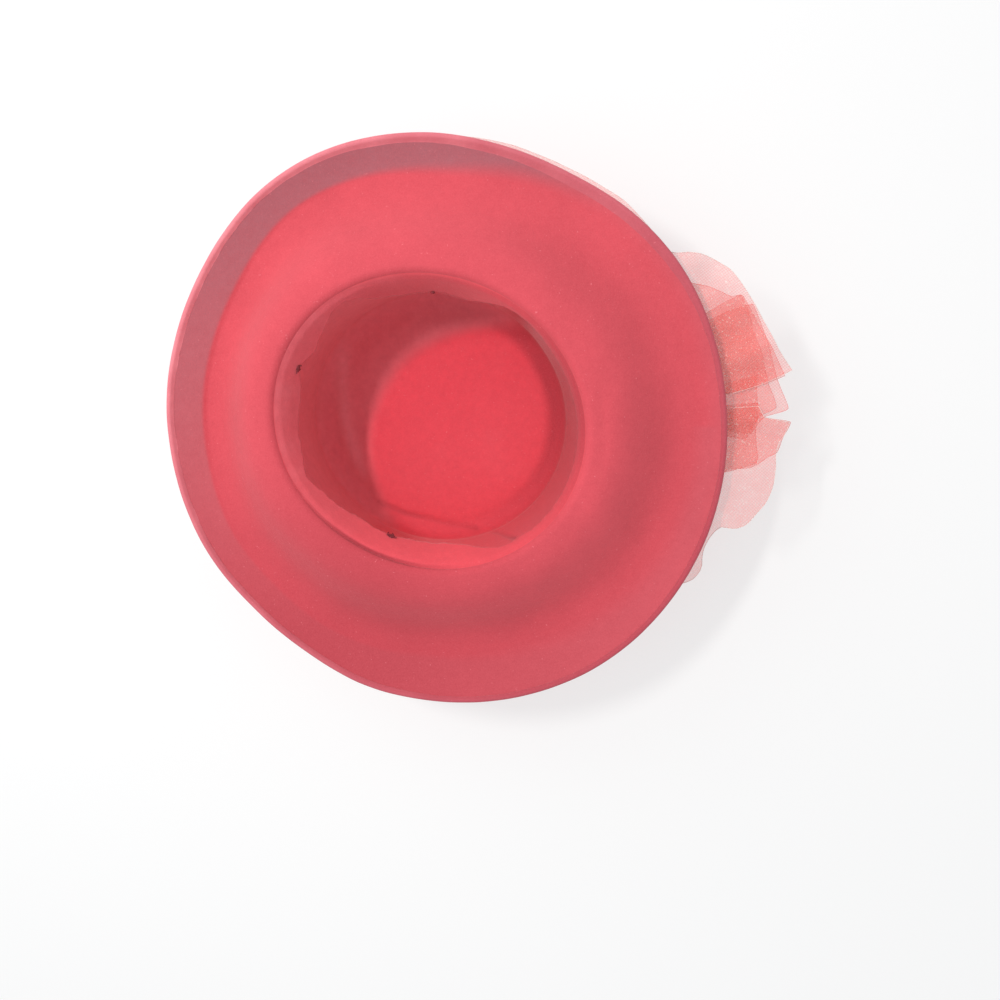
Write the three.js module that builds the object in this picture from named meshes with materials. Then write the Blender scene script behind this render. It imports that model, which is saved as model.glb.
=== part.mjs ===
// Wide-brim felt hat with a gathered organza frill, lying upside down on its crown.
// Millimetres. The origin is on the crown tip's flat outer face, under the head
// opening's middle.
// +Z runs from the tip up through the open head opening, and the frill points along +X.

import * as THREE from 'three';

// Materials: felt, organza and the gaps between pieces that touch
const FELT = 2;
const STRIP_FELT = 1.5;
const ORGANZA = 1;
const GAP = 0.3;

// Head opening, an oval of about 57 cm round
const HEAD_LENGTH = 188;
const HEAD_WIDTH = 172;
const HEAD_TURN = -22;

// Crown: its tip is an oval whose middle lies off the head opening's middle
const CROWN_DEPTH = 100;
const TIP_LENGTH = 180;
const TIP_WIDTH = 174;
const TIP_SHIFT_X = -6;
const TIP_SHIFT_Y = -3;
const TIP_CORNER = 14;

// Brim: an oval outline whose middle lies off the crown's axis
const BRIM_LENGTH = 349;
const BRIM_WIDTH = 334;
const BRIM_TURN = -50;
const BRIM_SHIFT_X = 6;
const BRIM_SHIFT_Y = -6.5;
const BRIM_DROP = 24;
const LIP_RISE = 11;
const FOLD_RADIUS = 5.5;
const COLLAR_DEPTH = 5;

// Rolled edge that wraps the brim's rim
const ROLL_WIDTH = 4.6;
const ROLL_FELT = 1.1;

// Strip with a hand-cut edge inside the head opening
const STRIP_WIDTH = 23;
const STRIP_LEAN = 20;

// Organza frill gathered at a knot on the crown's side
const KNOT_ANGLE = 2;
const KNOT_RADIUS = 11;
const KNOT_HEIGHT = 9;
const KNOT_BELOW_FOLD = 17;
const KNOT_RIM_SHARE = 0.15;
const FRILL_REACH = 121;
const FRILL_SPREAD_ANGLE = 164;
const FRILL_CLEARANCE = 2;
const PLEAT_HEIGHT = 7;
const LAYER_SPACING = 9;
const ROOT_SPACING = 3;
const OPEN_SHARE = 0.5;

// How fine the facets are
const AROUND = 56;

// Brim form by direction: reach as a share of the brim's width there, drop as a share
// of BRIM_DROP, lip as a share of LIP_RISE, crease as a share of the way across, and
// soft, how gently the lip leaves the crease
const BRIM_FORM = [
  { angle: 0, reach: 1.007, drop: 0.92, lip: 0.3, crease: 0.76, soft: 1.8 },
  { angle: 30, reach: 1.047, drop: 0.84, lip: 0.2, crease: 0.78, soft: 2.0 },
  { angle: 45, reach: 1.027, drop: 0.86, lip: 0.3, crease: 0.775, soft: 1.9 },
  { angle: 60, reach: 0.985, drop: 0.88, lip: 0.4, crease: 0.77, soft: 1.8 },
  { angle: 75, reach: 0.98, drop: 0.92, lip: 0.6, crease: 0.755, soft: 1.6 },
  { angle: 90, reach: 1.0, drop: 0.96, lip: 0.8, crease: 0.74, soft: 1.4 },
  { angle: 120, reach: 1.02, drop: 1.0, lip: 1.0, crease: 0.76, soft: 1.2 },
  { angle: 150, reach: 0.967, drop: 1.04, lip: 1.1, crease: 0.7, soft: 1.1 },
  { angle: 180, reach: 0.99, drop: 1.02, lip: 1.05, crease: 0.7, soft: 1.1 },
  { angle: 210, reach: 1.003, drop: 0.94, lip: 0.75, crease: 0.74, soft: 1.4 },
  { angle: 225, reach: 0.978, drop: 0.94, lip: 0.7, crease: 0.75, soft: 1.45 },
  { angle: 240, reach: 0.98, drop: 0.94, lip: 0.65, crease: 0.76, soft: 1.5 },
  { angle: 255, reach: 1.007, drop: 0.97, lip: 0.72, crease: 0.72, soft: 1.45 },
  { angle: 270, reach: 1.0, drop: 1.0, lip: 0.8, crease: 0.68, soft: 1.4 },
  { angle: 300, reach: 1.002, drop: 1.04, lip: 0.75, crease: 0.68, soft: 1.4 },
  { angle: 330, reach: 1.0, drop: 1.04, lip: 0.45, crease: 0.74, soft: 1.6 },
];

// Hand-cut edge of the inner strip: width as a share of STRIP_WIDTH
const STRIP_CUT = [
  { angle: 0, width: 0.3 },
  { angle: 28, width: 0.3 },
  { angle: 55, width: 0.3 },
  { angle: 73, width: 1.0 },
  { angle: 86, width: 0.9 },
  { angle: 104, width: 1.0 },
  { angle: 115, width: 0.8 },
  { angle: 121, width: 0.39 },
  { angle: 129, width: 0.3 },
  { angle: 137, width: 0.6 },
  { angle: 144, width: 0.8 },
  { angle: 150, width: 0.92 },
  { angle: 157, width: 0.61 },
  { angle: 164, width: 0.86 },
  { angle: 171, width: 0.92 },
  { angle: 184, width: 0.78 },
  { angle: 195, width: 0.64 },
  { angle: 203, width: 0.39 },
  { angle: 212, width: 0.61 },
  { angle: 223, width: 0.74 },
  { angle: 233, width: 0.9 },
  { angle: 244, width: 0.83 },
  { angle: 254, width: 0.91 },
  { angle: 268, width: 1.0 },
  { angle: 282, width: 0.94 },
  { angle: 298, width: 0.36 },
  { angle: 312, width: 0.3 },
  { angle: 335, width: 0.3 },
];

// Outer contour of the frill, by direction from the knot: reach as a share of FRILL_REACH
const FRILL_CONTOUR = [
  { angle: -90, reach: 0.94 },
  { angle: -58, reach: 1.0 },
  { angle: -52, reach: 0.97 },
  { angle: -44, reach: 0.9 },
  { angle: -37, reach: 0.96 },
  { angle: -28, reach: 1.03 },
  { angle: -21, reach: 1.01 },
  { angle: -12, reach: 0.97 },
  { angle: -6, reach: 0.99 },
  { angle: -3, reach: 1.01 },
  { angle: 0, reach: 0.87 },
  { angle: 3, reach: 1.0 },
  { angle: 8, reach: 0.96 },
  { angle: 13, reach: 1.04 },
  { angle: 20, reach: 0.99 },
  { angle: 48, reach: 0.99 },
  { angle: 56, reach: 0.97 },
  { angle: 65, reach: 0.92 },
  { angle: 90, reach: 0.9 },
];

// Pleated layers of the frill, the first one next to the brim. Their contour is
// scaled by `reach` and turned by `shift` degrees.
const FRILL_LAYERS = [
  { name: 'frill_inner_layer', pleats: 10, phase: 0, reach: 1.0, shift: 0, level: 0 },
  { name: 'frill_outer_layer', pleats: 9, phase: 0.5, reach: 0.94, shift: 13, level: 1 },
];
const PLEAT_FACETS = 6;
const FRILL_STEPS = 5;

const headOval = { length: HEAD_LENGTH, width: HEAD_WIDTH, turn: HEAD_TURN, x: 0, y: 0 };
const tipOval = {
  length: TIP_LENGTH,
  width: TIP_WIDTH,
  turn: HEAD_TURN,
  x: TIP_SHIFT_X,
  y: TIP_SHIFT_Y,
};
const brimOval = {
  length: BRIM_LENGTH,
  width: BRIM_WIDTH,
  turn: BRIM_TURN,
  x: BRIM_SHIFT_X,
  y: BRIM_SHIFT_Y,
};

const felt = new THREE.MeshStandardMaterial({ color: 0xd8505f, roughness: 0.95, metalness: 0 });
const feltRoll = new THREE.MeshStandardMaterial({ color: 0xdc6672, roughness: 0.9, metalness: 0 });
const feltStrip = new THREE.MeshStandardMaterial({ color: 0xdd5a68, roughness: 0.95, metalness: 0 });
const organza = new THREE.MeshStandardMaterial({ color: 0xf0b0aa, roughness: 0.45, metalness: 0 });

const radians = THREE.MathUtils.degToRad;
const lerp = THREE.MathUtils.lerp;

// A table's column at any direction, on a smooth curve through its rows.
// The table closes on itself after a whole turn if `round` is true.
function tableAt(table, column, degrees, round = true) {
  const count = table.length;
  let angle = degrees;
  if (round) {
    while (angle < table[0].angle) angle += 360;
    while (angle >= table[0].angle + 360) angle -= 360;
  }
  const row = (i) => {
    if (!round) return table[Math.min(Math.max(i, 0), count - 1)];
    const turns = Math.floor(i / count);
    const wrapped = table[i - turns * count];
    return { ...wrapped, angle: wrapped.angle + 360 * turns };
  };
  let at = 0;
  while (at < count - (round ? 1 : 2) && row(at + 1).angle <= angle) at += 1;
  const [before, from, to, after] = [row(at - 1), row(at), row(at + 1), row(at + 2)];
  const span = to.angle - from.angle;
  const t = THREE.MathUtils.clamp((angle - from.angle) / span, 0, 1);
  const slope = (a, b) => {
    if (a.angle === b.angle) return 0;
    return (span * (b[column] - a[column])) / (b.angle - a.angle);
  };
  const leave = slope(before, to);
  const arrive = slope(from, after);
  const bend = t * t * (3 - 2 * t);
  return lerp(from[column], to[column], bend)
    + leave * t * (1 - t) * (1 - t)
    - arrive * t * t * (1 - t);
}

// Distance from the crown's axis to an oval's edge, grown outwards by `grow`
function ovalReach(oval, degrees, grow = 0) {
  const turn = radians(oval.turn);
  const direction = radians(degrees) - turn;
  const long = oval.length / 2 + grow;
  const short = oval.width / 2 + grow;
  const ux = Math.cos(direction) / long;
  const uy = Math.sin(direction) / short;
  const cx = (oval.x * Math.cos(turn) + oval.y * Math.sin(turn)) / long;
  const cy = (oval.y * Math.cos(turn) - oval.x * Math.sin(turn)) / short;
  const uu = ux * ux + uy * uy;
  const uc = ux * cx + uy * cy;
  const cc = cx * cx + cy * cy;
  return (uc + Math.sqrt(uc * uc - uu * (cc - 1))) / uu;
}

// A point of a cross-section, turned to its direction round the crown's axis
function spin([reach, height], degrees) {
  const angle = radians(degrees);
  return new THREE.Vector3(reach * Math.cos(angle), reach * Math.sin(angle), height);
}

// The line that runs beside a cross-section's line at a given distance on its right
function offsetLine(line, distance) {
  return line.map((point, i) => {
    const a = line[Math.max(i - 1, 0)];
    const b = line[Math.min(i + 1, line.length - 1)];
    const length = Math.hypot(b[0] - a[0], b[1] - a[1]);
    return [
      point[0] + (distance * (b[1] - a[1])) / length,
      point[1] - (distance * (b[0] - a[0])) / length,
    ];
  });
}

// A closed body from rows of points, each row a closed loop. The rows join up
// in a ring, or else the first and last rows are covered.
function loopBody(rows, { ring = false, cover } = {}) {
  const count = rows[0].length;
  const positions = rows.flat().flatMap((p) => [p.x, p.y, p.z]);
  const index = [];
  const last = ring ? rows.length : rows.length - 1;
  for (let r = 0; r < last; r += 1) {
    const here = r * count;
    const next = ((r + 1) % rows.length) * count;
    for (let c = 0; c < count; c += 1) {
      const d = (c + 1) % count;
      index.push(here + c, here + d, next + d, here + c, next + d, next + c);
    }
  }
  if (!ring) {
    const end = (rows.length - 1) * count;
    for (const [a, b, c] of cover(rows[0])) index.push(c, b, a);
    for (const [a, b, c] of cover(rows[rows.length - 1])) index.push(end + a, end + b, end + c);
  }
  const geometry = new THREE.BufferGeometry();
  geometry.setAttribute('position', new THREE.Float32BufferAttribute(positions, 3));
  geometry.setIndex(signedVolume(positions, index) < 0 ? index.reverse() : index);
  geometry.computeVertexNormals();
  return geometry;
}

function signedVolume(positions, index) {
  const corner = (i) => new THREE.Vector3().fromArray(positions, 3 * i);
  let volume = 0;
  for (let i = 0; i < index.length; i += 3) {
    const [a, b, c] = [corner(index[i]), corner(index[i + 1]), corner(index[i + 2])];
    volume += a.dot(b.cross(c)) / 6;
  }
  return volume;
}

// Cover of a flat loop seen from above, without a point in its middle
function flatCover(loop) {
  const outline = loop.map((p) => new THREE.Vector2(p.x, p.y));
  const faces = THREE.ShapeUtils.triangulateShape(outline, []);
  return THREE.ShapeUtils.isClockWise(outline) ? faces.map(([a, b, c]) => [c, b, a]) : faces;
}

// Cover of a thin loop that runs out along one face and back along the other
function thinCover(loop) {
  const faces = [];
  const half = loop.length / 2;
  for (let i = 0; i < half - 1; i += 1) {
    const j = loop.length - 1 - i;
    faces.push([i, i + 1, j - 1], [i, j - 1, j]);
  }
  return faces;
}

function directions() {
  return Array.from({ length: AROUND }, (_, i) => (360 * i) / AROUND);
}

// Crown: a flat tip, a rounded corner and a wall that leans out to the brim's fold
const wallGrow = FELT + GAP + FELT;
const wallTop = CROWN_DEPTH - FOLD_RADIUS;
const collarFoot = wallTop - COLLAR_DEPTH;

function wallReach(degrees, height) {
  const up = THREE.MathUtils.clamp((height - TIP_CORNER) / (collarFoot - TIP_CORNER), 0, 1);
  return lerp(ovalReach(tipOval, degrees), ovalReach(headOval, degrees, wallGrow), up);
}

function crownLine(degrees) {
  const line = [];
  const cornerSteps = 4;
  for (let i = 0; i <= cornerSteps; i += 1) {
    const turn = (Math.PI / 2) * (i / cornerSteps);
    line.push([
      wallReach(degrees, 0) - TIP_CORNER * (1 - Math.sin(turn)),
      TIP_CORNER * (1 - Math.cos(turn)),
    ]);
  }
  for (const height of [(TIP_CORNER + collarFoot) / 2, collarFoot, wallTop]) {
    line.push([wallReach(degrees, height), height]);
  }
  return line;
}

function crownGeometry() {
  const outer = directions().map((degrees) => crownLine(degrees));
  const inner = outer.map((line) => {
    const inside = offsetLine(line, -FELT);
    inside[0] = [line[0][0], FELT];
    inside[line.length - 1] = [line[line.length - 1][0] - FELT, wallTop];
    return inside.reverse();
  });
  const sections = outer.map((line, i) => [...line, ...inner[i]]);
  const rings = sections[0].map((_, level) => (
    sections.map((section, i) => spin(section[level], directions()[i]))
  ));
  return loopBody(rings, { cover: flatCover });
}

// Brim: a short collar in the head opening, a round fold, a slope down to a
// channel and a lip that rises again to the rim
function brimForm(degrees, column) {
  return tableAt(BRIM_FORM, column, degrees);
}

function foldTopReach(degrees) {
  return ovalReach(headOval, degrees, FOLD_RADIUS);
}

function rimReach(degrees) {
  const start = foldTopReach(degrees);
  return start + (ovalReach(brimOval, degrees) - start) * brimForm(degrees, 'reach');
}

// Height of the brim's upper face, with `across` from 0 at the fold to 1 at the rim
function brimHeight(degrees, across) {
  const crease = brimForm(degrees, 'crease');
  const down = Math.min(across / crease, 1);
  const out = Math.max((across - crease) / (1 - crease), 0);
  const fall = down - Math.sin(2 * Math.PI * down) / (2 * Math.PI);
  return CROWN_DEPTH
    - BRIM_DROP * brimForm(degrees, 'drop') * fall
    + LIP_RISE * brimForm(degrees, 'lip') * out ** brimForm(degrees, 'soft');
}

function brimLine(degrees) {
  const inside = ovalReach(headOval, degrees);
  const line = [[inside, collarFoot]];
  for (const turn of [180, 150, 120]) {
    line.push([
      inside + FOLD_RADIUS * (1 + Math.cos(radians(turn))),
      wallTop + FOLD_RADIUS * Math.sin(radians(turn)),
    ]);
  }
  const crease = brimForm(degrees, 'crease');
  const steps = [0, 0.2, 0.4, 0.6, 0.8, 1].map((share) => share * crease);
  const lipSteps = [1 / 3, 2 / 3, 1].map((share) => lerp(crease, 1, share));
  for (const across of [...steps, ...lipSteps]) {
    const reach = lerp(foldTopReach(degrees), rimReach(degrees), across);
    line.push([reach, brimHeight(degrees, across)]);
  }
  return line;
}

function brimGeometry() {
  const rows = directions().map((degrees) => {
    const upper = brimLine(degrees);
    const lower = offsetLine(upper, FELT).reverse();
    return [...upper, ...lower].map((point) => spin(point, degrees));
  });
  return loopBody(rows, { ring: true });
}

// Rolled edge: a thin channel of felt that wraps the rim with a gap all round
function edgeRollGeometry() {
  const rows = directions().map((degrees) => {
    const line = brimLine(degrees);
    const [tipReach, tipHeight] = line[line.length - 1];
    const [rootReach, rootHeight] = line[line.length - 2];
    const run = Math.hypot(tipReach - rootReach, tipHeight - rootHeight);
    const along = [(tipReach - rootReach) / run, (tipHeight - rootHeight) / run];
    const up = [-along[1], along[0]];
    const place = (out, rise) => spin([
      tipReach + along[0] * out + up[0] * rise,
      tipHeight + along[1] * out + up[1] * rise,
    ], degrees);
    const top = GAP;
    const bottom = -FELT - GAP;
    const back = GAP + ROLL_FELT - ROLL_WIDTH;
    return [
      place(back, top),
      place(back, top + ROLL_FELT / 2),
      place(back / 2, top + ROLL_FELT),
      place(GAP, top + ROLL_FELT),
      place(GAP + ROLL_FELT, -FELT / 2),
      place(GAP, bottom - ROLL_FELT),
      place(back / 2, bottom - ROLL_FELT),
      place(back, bottom - ROLL_FELT / 2),
      place(back, bottom),
      place(GAP, bottom),
      place(GAP, top),
    ];
  });
  return loopBody(rows, { ring: true });
}

// Inner strip: it stands just inside the collar and leans into the head opening
function headStripGeometry() {
  const lean = radians(STRIP_LEAN);
  const top = CROWN_DEPTH - FOLD_RADIUS / 2;
  const rows = directions().map((degrees) => {
    const width = STRIP_WIDTH * tableAt(STRIP_CUT, 'width', degrees);
    const start = ovalReach(headOval, degrees, -GAP);
    const line = [0, 0.5, 1].map((share) => [
      start - width * share * Math.sin(lean),
      top - width * share * Math.cos(lean),
    ]);
    const face = line.map(([reach, height]) => [reach - STRIP_FELT, height]);
    return [...line, ...face.reverse()].map((point) => spin(point, degrees));
  });
  return loopBody(rows, { ring: true });
}

// Knot: the gathered root of the frill, a dome that sits on the crown's wall
const knotHeight = CROWN_DEPTH - KNOT_BELOW_FOLD;
const knotReach = wallReach(KNOT_ANGLE, knotHeight) + GAP;

// Place beside the knot: sideways along the wall, up, and out from the wall
function knotPoint(side, rise, out) {
  const height = knotHeight + rise;
  const degrees = KNOT_ANGLE + THREE.MathUtils.radToDeg(Math.atan2(side, knotReach));
  const seat = spin([wallReach(degrees, height) + GAP, height], degrees);
  return seat.add(spin([out, 0], KNOT_ANGLE));
}

function knotGeometry() {
  const around = 16;
  const ring = (share, out) => Array.from({ length: around }, (_, i) => {
    const turn = (2 * Math.PI * i) / around;
    const reach = KNOT_RADIUS * share;
    return knotPoint(reach * Math.cos(turn), reach * Math.sin(turn), out);
  });
  const domeHeight = (share) => (
    KNOT_HEIGHT * lerp(KNOT_RIM_SHARE, 1, Math.sqrt(1 - share * share))
  );
  const base = [0.45, 1].map((share) => ring(share, 0));
  const dome = [1, 0.85, 0.45].map((share) => ring(share, domeHeight(share)));
  const fan = (loop) => Array.from({ length: loop.length - 2 }, (_, i) => [0, i + 1, i + 2]);
  return loopBody([...base, ...dome], { cover: fan });
}

// Frill layer: a pleated fan about the knot that lies close under the brim
function underBrim(x, y) {
  const degrees = THREE.MathUtils.radToDeg(Math.atan2(y, x));
  const start = foldTopReach(degrees);
  const across = (Math.hypot(x, y) - start) / (rimReach(degrees) - start);
  const crease = brimForm(degrees, 'crease');
  return brimHeight(degrees, THREE.MathUtils.clamp(across, 0, crease)) - FELT;
}

// Middle of a layer at a point, with `share` from 0 at the knot to 1 at the hem
function frillHeight(x, y, share, wave, level) {
  const open = Math.min(share / OPEN_SHARE, 1);
  const pleat = (PLEAT_HEIGHT / 2) * share;
  const root = knotHeight - level * ROOT_SPACING;
  const clear = FRILL_CLEARANCE + ORGANZA / 2 + pleat + level * LAYER_SPACING * open;
  const free = underBrim(x, y) - clear;
  return Math.min(lerp(root, free, open), free) + pleat * wave;
}

function frillGeometry({ pleats, phase, reach, shift, level }) {
  const facets = pleats * PLEAT_FACETS;
  const centre = spin([knotReach, 0], KNOT_ANGLE);
  const start = KNOT_RADIUS + GAP;
  const rows = [];
  for (let i = 0; i <= facets; i += 1) {
    const turn = FRILL_SPREAD_ANGLE * (i / facets - 0.5);
    const wave = Math.sin(2 * Math.PI * ((i / facets) * pleats + phase));
    const end = FRILL_REACH * reach * tableAt(FRILL_CONTOUR, 'reach', turn + shift, false);
    const upper = [];
    const lower = [];
    for (let k = 0; k <= FRILL_STEPS; k += 1) {
      const share = k / FRILL_STEPS;
      const distance = lerp(start, end, share);
      const x = centre.x + distance * Math.cos(radians(turn));
      const y = centre.y + distance * Math.sin(radians(turn));
      const z = frillHeight(x, y, share, wave, level);
      upper.push(new THREE.Vector3(x, y, z + ORGANZA / 2));
      lower.push(new THREE.Vector3(x, y, z - ORGANZA / 2));
    }
    rows.push([...upper, ...lower.reverse()]);
  }
  return loopBody(rows, { cover: thinCover });
}

const group = new THREE.Group();

function addPiece(name, geometry, material) {
  const mesh = new THREE.Mesh(geometry, material);
  mesh.name = name;
  group.add(mesh);
}

addPiece('crown', crownGeometry(), felt);
addPiece('brim', brimGeometry(), felt);
addPiece('edge_roll', edgeRollGeometry(), feltRoll);
addPiece('head_strip', headStripGeometry(), feltStrip);
addPiece('frill_knot', knotGeometry(), organza);
for (const layer of FRILL_LAYERS) {
  addPiece(layer.name, frillGeometry(layer), organza);
}

export default group;
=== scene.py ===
# Wide-brim felt hat with a gathered organza frill, lying upside down on its crown.
# Sizes are in millimetres and turn into metres where the meshes are made.

import math
from functools import cache
from types import SimpleNamespace

import bpy
from mathutils import Matrix, Vector, noise


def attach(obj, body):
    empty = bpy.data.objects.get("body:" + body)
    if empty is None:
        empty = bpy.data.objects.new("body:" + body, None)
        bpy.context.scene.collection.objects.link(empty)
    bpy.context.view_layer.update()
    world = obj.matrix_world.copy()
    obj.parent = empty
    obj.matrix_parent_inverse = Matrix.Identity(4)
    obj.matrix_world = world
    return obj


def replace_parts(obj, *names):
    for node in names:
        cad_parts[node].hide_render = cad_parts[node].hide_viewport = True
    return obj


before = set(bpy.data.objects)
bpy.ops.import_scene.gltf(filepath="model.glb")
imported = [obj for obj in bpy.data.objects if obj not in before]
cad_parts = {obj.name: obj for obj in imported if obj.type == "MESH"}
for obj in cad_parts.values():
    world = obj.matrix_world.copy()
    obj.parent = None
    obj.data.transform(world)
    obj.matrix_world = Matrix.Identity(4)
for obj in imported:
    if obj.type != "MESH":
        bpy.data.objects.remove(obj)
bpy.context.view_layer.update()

MM = 0.001

# Camera, in millimetres, and lights and floor, in metres
CAMERA_PLACE = (85.0, 44.2, 600.0)
CAMERA_AIM = (43.4, -44.15, 100.0)
CAMERA_LENS = 30.81
SENSOR = 36.0
KEY_DIRECTION = (-0.40, 0.32, 1.0)
KEY_DISTANCE = 1.0
KEY_SIZE = (0.055, 0.20)
KEY_POWER = 4.5
KEY_COLOUR = (1.0, 0.985, 0.96)
FILL_DIRECTION = (-0.62, 0.62, 0.48)
FILL_DISTANCE = 1.9
FILL_SIZE = (1.3, 1.3)
FILL_POWER = 6.0
FILL_COLOUR = (1.0, 1.0, 1.0)
SKY_COLOUR = (0.97, 0.985, 1.0)
SKY_STRENGTH = 0.76
FLOOR_SIZE = 8.0

# Felt thickness, and the gap between layers
FELT = 2.0
STRIP_FELT = 1.5
GAP = 0.3

# Head opening and crown
HEAD_LENGTH = 188.0
HEAD_WIDTH = 172.0
HEAD_TURN = -22.0
CROWN_DEPTH = 100.0
TIP_LENGTH = 180.0
TIP_WIDTH = 174.0
TIP_SHIFT = (-6.0, -3.0)
TIP_CORNER = 14.0
TIP_WAVE = 0.7
TIP_WAVE_LENGTH = 45.0
TIP_WAVE_START = 0.12
WALL_WAVE = 0.8
WALL_WAVE_LENGTH = 42.0
WALL_WAVE_FOOT = 20.0
WALL_WAVE_TOP = 18.0
WALL_WAVE_REACH = 90.0
PRESS_BEND = 8.0
CREASE_DEPTH = 1.2
CREASE_WIDTH = 1.5

# Brim
BRIM_LENGTH = 349.0
BRIM_WIDTH = 334.0
BRIM_TURN = -50.0
BRIM_SHIFT = (6.0, -6.5)
BRIM_DROP = 24.0
LIP_RISE = 11.0
FOLD_RADIUS = 5.5
COLLAR_DEPTH = 5.0
BROAD_WAVE = 0.9
BROAD_WAVE_LENGTH = 60.0
SMALL_WAVE = 0.22
SMALL_WAVE_LENGTH = 14.0
WAVE_START = 0.15
DENT_START = 0.1
RIM_ROOT = 0.96

# Rolled edge
ROLL_WIDTH = 4.6
ROLL_FELT = 1.1
ROLL_SINK = 0.06
ROLL_CLEAR = 0.04
ROLL_INSET = 0.3
ROLL_BEND = 0.2
ROLL_LEAST_SLOPE = 1.6
ROLL_WANDER = 0.35

# Inner strip
STRIP_WIDTH = 23.0
STRIP_LEAN = 20.0
STRIP_RAGGED = 1.6
STRIP_TOP = 1.0
STRIP_LAP = 2.3
STRIP_THIN_START = 0.4
STRIP_THIN_RUN = 6.0
STRIP_BUCKLE = 1.0
STRIP_BUCKLE_START = 12.0
STRIP_BUCKLE_LENGTH = 24.0
STRIP_SUNK = 0.12
STRIP_EDGE = 0.35
STRIP_ROUND = 0.3
STRIP_LIFT = 0.04

# Thread tacks on the inner strip
THREAD_RADIUS = 0.26
TACK_LOOPS = 7
TACK_ENDS = 3
TACK_REACH = 0.62
TACK_SWELL = 0.2
TACK_FLATNESS = 0.38
TACK_SLANT = 0.9
TACK_SQUASH = 0.6
TACK_LIFT = 0.35

# Gathered root of the frill, a knot with puckers
KNOT_ANGLE = 2.0
KNOT_RADIUS = 11.0
KNOT_HEIGHT = 9.0
KNOT_BELOW_FOLD = 17.0
KNOT_SPREAD = 0.98 / 1.15
KNOT_FOOT = 0.12
KNOT_DOME = 0.8
KNOT_BASE = (0.9, 0.027)
KNOT_BASE_LIFT = 0.1
PUCKERS = 17
PUCKER_OUT = 0.10
PUCKER_UP = 0.09
PUCKER_WANDER = 0.05

# Frill sheets and their pleats
FRILL_REACH = 121.0
FRILL_CLEARANCE = 1.5
PLEAT_HEIGHT = 4.2
PLEAT_AT_KNOT = 0.12
PLEAT_OWN = 0.18
PLEAT_OWN_COUNT = 13
PLEAT_FINE = 0.35
PLEAT_FINE_COUNT = 64
PLEAT_SEED = 1.3
SHEET_SPACING = 1.4
SPACING_AT_KNOT = 0.4
ROOT_SPACING = 0.5
SHEET_OPENS = 0.45
SHEET_START = 0.55
FULLNESS = 1.12
LEAST_CUT = 0.31
HEM_STEP = 0.2
HEM_RADIUS = 0.17
SIDE_HEM_RADIUS = 0.13

# Band of organza under the rim
BAND_WIDTH = 14.0
BAND_SHOW = 3.0
BAND_FROM = 40.0
BAND_TO = 88.0
BAND_TAPERS = (9.0, 16.0)
BAND_LEAST_SHOW = 0.15
BAND_WAVE = 0.4
BAND_WAVE_LENGTH = 5.0
BAND_CLEARANCE = 0.5
BAND_SAG = 1.6
BAND_SAG_FROM = -8.0
BAND_SAG_TO = -3.0

# How fine the meshes are
AROUND = 400
ACROSS = 84
CORNER_STEPS = 14
WALL_STEPS = 30
TIP_STEPS_OUTSIDE = 10
TIP_STEPS_INSIDE = 44
TIP_CENTRE_OUTSIDE = 0.02
TIP_CENTRE_INSIDE = 0.01
COLLAR_STEPS = 4
FOLD_STEPS = 10
UNDERSIDE_STEP = 3
ROLL_SLOPE_STEPS = 5
ROLL_TURN_STEPS = 12
STRIP_AROUND = 720
STRIP_DOWN = 16
THREAD_SIDES = 6
TACK_STEPS = 22
TACK_END_STEPS = 9
SHEET_TURNS = 150
SHEET_STEPS = 44
SIDE_HEM_FROM = 14
BAND_TURNS = 160
BAND_ACROSS = 12
CUT_STEPS = 60
KNOT_AROUND = 120
KNOT_RINGS = 18


def rows(columns, *values):
    names = columns.split()
    return [dict(zip(names, line)) for line in values]


# Brim form by direction: reach as a share of the brim's width there, drop as a share
# of BRIM_DROP, lip as a share of LIP_RISE, crease as a share of the way across, and
# soft, how gently the lip leaves the crease
BRIM_FORM = rows(
    "angle reach drop lip crease soft",
    (0, 1.007, 0.92, 0.3, 0.76, 1.8),
    (30, 1.047, 0.84, 0.2, 0.78, 2.0),
    (45, 1.027, 0.86, 0.3, 0.775, 1.9),
    (60, 0.985, 0.88, 0.4, 0.77, 1.8),
    (75, 0.98, 0.92, 0.6, 0.755, 1.6),
    (90, 1.0, 0.96, 0.8, 0.74, 1.4),
    (120, 1.02, 1.0, 1.0, 0.76, 1.2),
    (150, 0.967, 1.04, 1.1, 0.7, 1.1),
    (180, 0.99, 1.02, 1.05, 0.7, 1.1),
    (210, 1.003, 0.94, 0.75, 0.74, 1.4),
    (225, 0.978, 0.94, 0.7, 0.75, 1.45),
    (240, 0.98, 0.94, 0.65, 0.76, 1.5),
    (255, 1.007, 0.97, 0.72, 0.72, 1.45),
    (270, 1.0, 1.0, 0.8, 0.68, 1.4),
    (300, 1.002, 1.04, 0.75, 0.68, 1.4),
    (330, 1.0, 1.04, 0.45, 0.74, 1.6),
)

# Dents pressed into the brim: place, depth, and size along and across the direction `turn`
BRIM_DENTS = rows(
    "x y depth along across turn",
    (118, -38, 1.6, 34, 12, -60),
    (100, -72, 1.4, 26, 11, -45),
    (104, 18, 1.0, 26, 8, 80),
)

# Ridge worn into the crown's tip: part of a large ring, its middle off the hat's middle
TIP_RIDGE = {
    "x": 55.0,
    "y": 15.0,
    "radius": 132.0,
    "low": 161.0,
    "high": 212.0,
    "taper": 12.0,
    "width": 5.5,
    "rise": 1.3,
}

# Crease at the foot of the crown's wall, from point to point
CROWN_CREASE = (
    (-52, -64, 3),
    (-33, -72, 2),
    (-5, -78, 3),
    (18, -81, 5),
    (34, -79, 24),
    (50, -76, 62),
)

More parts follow.
